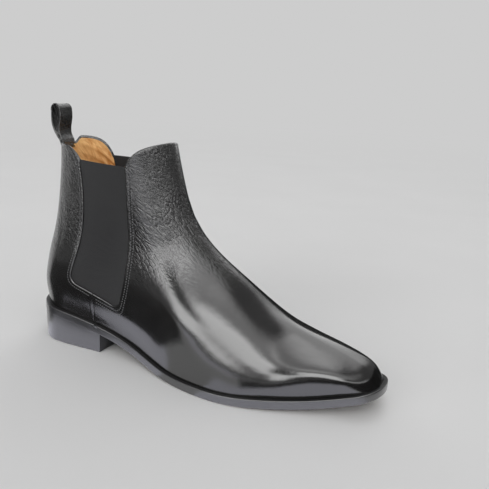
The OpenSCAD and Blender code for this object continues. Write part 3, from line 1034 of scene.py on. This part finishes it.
def leather_look(name, polish):
    """Black calf: pebbled and creased on the shaft, close and shiny towards the toe."""
    look = Look(name, {"Specular IOR Level": 0.15, "Coat Weight": 1.0, "Coat IOR": 2.1})
    spot = look.where()
    shaft = look.range(look.height("Z"), 0.062, 0.12, 0.03, 1.0)
    slant = look.where((2.8, 1, 1), 0.62)
    folds = look.noise(slant, 190, 3, 0.6, 0.5)
    crackle = look.range(look.cells(slant, 330), 0.0, 0.22)
    pebbles = look.range(look.cells(spot, 1050), 0.0, 0.25)
    pores = look.cells(spot, 2300, "F1")
    relief = look.math("ADD", folds, look.math("MULTIPLY", crackle, 0.3))
    patches = look.range(look.noise(spot, 22, 2), 0.35, 0.65, 0.35, 1.0)
    creased = look.bump(look.math("MULTIPLY", relief, look.math("MULTIPLY", shaft, patches)),
                        0.0010, 0.95)
    soft = look.bump(look.noise(spot, 70, 3), 0.0005, 0.35, creased)
    grain = look.bump(look.math("MULTIPLY", pebbles, shaft), 0.00012, 0.6, soft)
    normal = look.bump(pores, 0.00005, 0.35, grain)
    look.plug("Normal", normal)
    look.plug("Coat Normal", normal)
    wear = look.noise(spot, 34, 4, 0.6)
    look.plug("Base Color", look.colours(wear, (0.3, (0.0045, 0.0043, 0.0042)),
                                         (0.75, (0.011, 0.0106, 0.0104))))
    toe = look.range(look.height("X"), 0.06, 0.2, 0.0, polish)
    rough = look.range(wear, 0.25, 0.75, 0.0, 0.06)
    look.plug("Roughness", look.math("SUBTRACT", look.math("ADD", rough, 0.36), toe))
    look.plug("Coat Roughness", look.math("SUBTRACT", look.math("ADD", rough, 0.11), toe))
    return look.material


def elastic_look():
    """Ribbed elastic webbing, its ribs running up the boot."""
    look = Look("elastic_webbing", {"Specular IOR Level": 0.3, "Sheen Weight": 0.12,
                                    "Sheen Roughness": 0.5})
    spot = look.where(kind="UV")
    ribs = look.bands(spot, 3.3)
    picks = look.bands(spot, 6.0, "Y")
    fuzz = look.noise(spot, 60, 3, 0.6)
    weave = look.weigh(ribs, 0.8, picks, 0.3)
    look.plug("Base Color", look.colours(look.weigh(weave, 0.7, fuzz, 0.3),
                                         (0.1, (0.016, 0.016, 0.0166)),
                                         (0.9, (0.040, 0.040, 0.0422))))
    look.plug("Roughness", look.range(fuzz, 0.2, 0.8, 0.72, 0.92))
    look.plug("Normal", look.bump(fuzz, 0.0002, 0.5, look.bump(weave, 0.0004, 0.9)))
    return look.material


def lining_look():
    """Vegetable tanned lining leather, a warm tan with soft wrinkles, the colour darkened in
    their valleys as painted shade.
    """
    look = Look("tan_lining_leather", {"Specular IOR Level": 0.35})
    spot = look.where()
    clouds = look.noise(spot, 45, 4, 0.55)
    pores = look.cells(spot, 1500, "F1")
    folds = look.noise(look.where((2.6, 1, 1), 0.95), 190, 3, 0.5, 0.8)
    # The colour follows the folds: painted shade in their valleys and painted highlight on
    # their crests, mixed with the leather's random mottling from the clouds.
    tone_and_fold_shade = look.weigh(clouds, 0.35, folds, 0.65)
    look.plug("Base Color", look.colours(tone_and_fold_shade, (0.36, (0.62, 0.26, 0.066)),
                                         (0.6, (0.98, 0.60, 0.25))))
    look.plug("Roughness", look.range(clouds, 0.3, 0.7, 0.5, 0.66))
    look.plug("Normal", look.bump(pores, 0.00008, 0.4, look.bump(folds, 0.0018, 0.9)))
    return look.material


def edge_look():
    """Stained and waxed leather edge, with faint lines along its layers."""
    look = Look("sole_edge_black", {"Specular IOR Level": 0.5, "Coat Weight": 1.0,
                                    "Coat IOR": 2.1, "Coat Roughness": 0.25})
    lines = look.noise(look.where((8, 8, 1)), 3600, 4, 0.6)
    blotch = look.noise(look.where(), 55, 3)
    look.plug("Base Color", look.colours(look.weigh(lines, 0.25, blotch, 0.75),
                                         (0.3, (0.014, 0.014, 0.0155)),
                                         (0.7, (0.030, 0.030, 0.033))))
    look.plug("Roughness", look.range(blotch, 0.3, 0.7, 0.30, 0.44))
    look.plug("Normal", look.bump(lines, 0.00005, 0.4))
    return look.material


def plain_look(name, dark, light, scale, rough, relief, metallic=0.0, sheen=0.0,
               stretch=(1, 1, 1)):
    """Mottled stock such as board, cork, cloth, rubber, thread or brushed metal."""
    look = Look(name, {"Metallic": metallic, "Sheen Weight": sheen})
    spot = look.where(stretch)
    mottle = look.noise(spot, scale, 4, 0.6)
    speckle = look.cells(spot, scale * 2.6, "F1")
    look.plug("Base Color", look.colours(mottle, (0.3, dark), (0.7, light)))
    look.plug("Roughness", look.range(mottle, 0.3, 0.7, rough - 0.07, rough + 0.07))
    look.plug("Normal", look.bump(speckle, relief, 0.5))
    return look.material


def dress(objs, material):
    for obj in objs if isinstance(objs, list) else [objs]:
        obj.data.materials.clear()
        obj.data.materials.append(material)


def cover(obj, material, towards, least=0.7):
    """Faces of the piece that look towards a direction take a second material."""
    obj.data.materials.append(material)
    for face in obj.data.polygons:
        if face.normal.dot(Vector(towards)) > least:
            face.material_index = len(obj.data.materials) - 1


# --- Everything together ---
upper = make_upper()
strip = make_back_strip()
linings = make_lining()
threads = make_stitching()
tab = make_pull_tab()
bottom = make_bottom()
stiffeners = make_stiffeners()
nails = make_nails()

calf = leather_look("black_calf", 0.05)
dress([upper["vamp"], upper["quarter_lateral"], upper["quarter_medial"]], calf)
dress([strip, tab], leather_look("black_strap_leather", 0.0))
dress([upper["gore_lateral"], upper["gore_medial"]], elastic_look())
dress(linings, lining_look())
dress(threads, plain_look("black_thread", (0.09, 0.09, 0.095), (0.18, 0.18, 0.19), 900,
                          0.4, 0.0001, sheen=0.3))
sole_edge = edge_look()
lifts = ["heel_lift_1", "heel_lift_2", "heel_lift_3"]
dress([bottom["outsole"], bottom["welt"], bottom["heel_rand"]], sole_edge)
dress([bottom[name] for name in lifts], sole_edge)
# This dark material is the top piece's tread, and also goes on the heel's forward-facing breast
# as painted shade.
rubber_and_breast_shade = plain_look("heel_rubber", (0.010, 0.010, 0.010), (0.022, 0.022, 0.023), 700, 0.5,
                    0.0001)
dress(bottom["top_piece"], sole_edge)
cover(bottom["top_piece"], rubber_and_breast_shade, (0, 0, -1))
# Breast faces of the heel's layers, looking forward, take the darker material as painted shade.
for name in ["top_piece"] + lifts:
    cover(bottom[name], rubber_and_breast_shade, (1, 0, 0))
for name in ("welt", "heel_rand"):
    cover(bottom[name], rubber_and_breast_shade, (0, 0, 1), 0.94)
cover(bottom["outsole"], plain_look("sole_underside_leather", (0.05, 0.032, 0.02),
                                    (0.09, 0.06, 0.04), 60, 0.5, 0.00006), (0, 0, -1))
board = plain_look("stiffener_board", (0.30, 0.20, 0.12), (0.42, 0.30, 0.19), 300, 0.8, 0.0001)
cloth = plain_look("interlining_cloth", (0.42, 0.40, 0.36), (0.58, 0.56, 0.52), 900, 0.9,
                   0.0001, sheen=0.2)
dress([stiffeners["heel_counter"], stiffeners["toe_puff"]], board)
dress([stiffeners["quarter_interlining"], stiffeners["vamp_interlining"]], cloth)
dress(nails, plain_look("nail_brass", (0.55, 0.36, 0.13), (0.75, 0.53, 0.22), 400, 0.32,
                        0.00003, metallic=1.0))
hidden = {
    "insole": board,
    "sock_liner": linings[0].data.materials[0],
    "shank": plain_look("shank_steel", (0.36, 0.36, 0.37), (0.52, 0.52, 0.53), 540, 0.35,
                        0.00003, metallic=1.0, stretch=(20, 1, 1)),
    "bottom_filler": plain_look("cork_filler", (0.16, 0.08, 0.035), (0.42, 0.25, 0.12), 350,
                                0.85, 0.0003),
}
for node, material in hidden.items():
    dress(frame["nodes"][node], material)


# --- Floor, light and camera ---
def make_floor():
    """A wide pale disc under the boot that fades into the colour of the surroundings."""
    work = bmesh.new()
    bmesh.ops.create_circle(work, cap_ends=True, segments=128, radius=12.0)
    mesh = bpy.data.meshes.new("floor")
    work.to_mesh(mesh)
    work.free()
    floor = bpy.data.objects.new("floor", mesh)
    floor.location.z = -FLOOR_DROP
    bpy.context.scene.collection.objects.link(floor)
    look = Look("pale_floor", {"Roughness": 0.9, "Specular IOR Level": 0.1})
    spot = look.where()
    mottle = look.noise(spot, 6, 3)
    look.plug("Base Color", look.colours(mottle, (0.3, (0.79, 0.79, 0.79)),
                                         (0.7, (0.81, 0.81, 0.81))))
    away = look.node("VectorMath", {0: spot}, 1, operation="LENGTH")
    far = look.node("Emission", {"Color": (*BACKGROUND, 1), "Strength": 1.0})
    shader = look.node("MixShader", {0: look.range(away, *FLOOR_FADE),
                                     1: look.shader.outputs[0], 2: far})
    look.tree.links.new(shader, look.tree.nodes["Material Output"].inputs["Surface"])
    floor.data.materials.append(look.material)


def direction(azimuth, elevation):
    """Unit vector towards a place round the boot, azimuth 0 being on the lateral side."""
    a, e = math.radians(azimuth), math.radians(elevation)
    return Vector((math.sin(a) * math.cos(e), -math.cos(a) * math.cos(e), math.sin(e)))


def make_world():
    """Pale surroundings to look at, and a dim room with soft lights to be lit by."""
    world = bpy.data.worlds.new("studio")
    bpy.context.scene.world = world
    world.use_nodes = True
    studio = Nodes(world.node_tree)
    ray = studio.node("TexCoord", {}, "Generated")
    total = ROOM
    inner, outer = 0.6, 1.3
    for azimuth, elevation, wide, tall, radiance in SOFT_LIGHTS:
        centre = direction(azimuth, elevation)
        across = Vector((0, 0, 1)).cross(centre).normalized()
        ahead, u, v = (studio.node("VectorMath", {0: ray, 1: axis}, "Value",
                                   operation="DOT_PRODUCT")
                       for axis in (centre, across, centre.cross(across)))
        light = studio.range(ahead, 0.0, 0.2, 0.0, radiance)
        for offset, size in ((u, wide), (v, tall)):
            slope = studio.math("ABSOLUTE", studio.math("DIVIDE", offset, ahead))
            reach = math.tan(math.radians(size / 2))
            light = studio.math("MULTIPLY", light,
                                studio.range(slope, inner * reach, outer * reach, 1.0, 0.0))
        total = studio.math("ADD", light, total)
    lit = studio.node("Background", {"Color": (1, 1, 1, 1), "Strength": total})
    seen = studio.node("Background", {"Color": (*BACKGROUND, 1)})
    camera_ray = studio.node("LightPath", {}, "Is Camera Ray")
    surface = studio.node("MixShader", {0: camera_ray, 1: lit, 2: seen})
    studio.tree.links.new(surface, studio.tree.nodes["World Output"].inputs["Surface"])


def make_overhead():
    """One large soft light straight above."""
    light = bpy.data.lights.new("overhead", "AREA")
    light.shape = "DISK"
    light.size, light.energy = 1.5, 3.0
    obj = bpy.data.objects.new("overhead", light)
    obj.location = (0.1, 0, 1.9)
    obj.visible_camera = False
    bpy.context.scene.collection.objects.link(obj)


def flat(height, *corners):
    return [(x, y, height) for x, y in corners]


def make_cards():
    """Cards that only reflections see: lit ones on the floor beside the boot, black ones
    round them and standing where the second boot and the room's far side would be."""
    dark = plain_look("black_card", (0.002, 0.002, 0.002), (0.004, 0.004, 0.004), 40, 0.9,
                      0.0001)
    lit = plain_look("lit_card", (0.75, 0.75, 0.83), (0.80, 0.80, 0.89), 6, 0.9, 0.0001)
    glow = lit.node_tree.nodes["Principled BSDF"].inputs
    glow["Emission Color"].default_value = (0.9, 0.9, 1.0, 1)
    glow["Emission Strength"].default_value = 0.35
    low, high = 0.0003, 0.0005
    beside = 0.12
    profile = [(-0.02, 0), (0.34, 0), (0.34, 0.035), (0.2, 0.06), (0.12, 0.12), (0.06, 0.17),
               (-0.02, 0.17)]
    cards = {
        "card_beyond": flat(high, (0.175, -0.105), (0.33, -0.09), (0.5, -0.3), (0.5, -0.5),
                            (0.175, -0.5)),
        "card_ahead": flat(high, (0.31, 3), (0.31, -0.2), (0.4, -0.5), (0.5, -4), (4, -4),
                           (4, 3)),
        "card_beside": flat(high, (-0.3, -0.02), (-0.06, -0.03), (-0.05, -0.068),
                            (0.0, -0.062), (0.06, -0.06), (0.05, -0.12), (0.0, -0.2),
                            (-0.2, -0.42), (-0.7, -0.98), (-3, -3.5), (-4, -0.3)),
        "card_lit": flat(low, (-0.05, -0.02), (0.1, -0.03), (0.1, -0.05), (0.04, -0.08),
                         (-0.05, -0.08)),
        "card_lit_toe": flat(low, (0.14, -0.045), (0.28, -0.02), (0.3, -0.1), (0.14, -0.11)),
        "card_lit_far": flat(low, (-0.02, -0.26), (0.16, -0.26), (0.2, -1.0), (-0.45, -0.9)),
        "card_second_boot": [(x, beside, z) for x, z in profile],
        "card_upright": [(0.48, -0.5, 0), (0.40, 0.4, 0), (0.40, 0.4, 0.13),
                         (0.48, -0.5, 0.13)],
    }
    for name, corners in cards.items():
        mesh = bpy.data.meshes.new(name)
        mesh.from_pydata(corners, [], [range(len(corners))])
        card = bpy.data.objects.new(name, mesh)
        card.visible_camera = card.visible_shadow = card.visible_diffuse = False
        card.data.materials.append(lit if name.startswith("card_lit") else dark)
        bpy.context.scene.collection.objects.link(card)


def make_camera():
    """The photograph's view: from the lateral side, a little ahead of the boot and above."""
    azimuth, elevation, roll = 0.4415, 0.2642, 0.0511
    focal_length, frame_width = 605.1, 489
    data = bpy.data.cameras.new("camera")
    data.sensor_width = 36
    data.lens = focal_length / frame_width * data.sensor_width
    data.clip_start = 0.01
    camera = bpy.data.objects.new("camera", data)
    back = direction(math.degrees(azimuth), math.degrees(elevation))
    right = (-back).cross(Vector((0, 0, 1))).normalized()
    up = right.cross(-back)
    x_axis = math.cos(roll) * right + math.sin(roll) * up
    y_axis = -math.sin(roll) * right + math.cos(roll) * up
    turn = Matrix((x_axis, y_axis, back)).transposed()
    camera.matrix_world = Matrix.Translation((0.3391, -0.3999, 0.2242)) @ turn.to_4x4()
    bpy.context.scene.collection.objects.link(camera)
    bpy.context.scene.camera = camera


BACKGROUND = (0.61, 0.61, 0.61)
ROOM = 0.16
# How far the floor lies under the sole, and the distances between which it fades, in metres
FLOOR_DROP = 0.0002
FLOOR_FADE = 0.5, 2.6
# Azimuth, elevation, width and height in degrees, and radiance
SOFT_LIGHTS = [(-16, 21, 40, 29, 2.7), (26, 40, 34, 36, 2.6), (72, 24, 50, 22, 1.0),
               (182, 52, 30, 60, 1.0), (35, 66, 50, 30, 0.7), (-140, 8, 80, 50, 1.2)]
make_floor()
make_world()
make_overhead()
make_cards()
make_camera()
bpy.context.scene.view_settings.view_transform = "Standard"
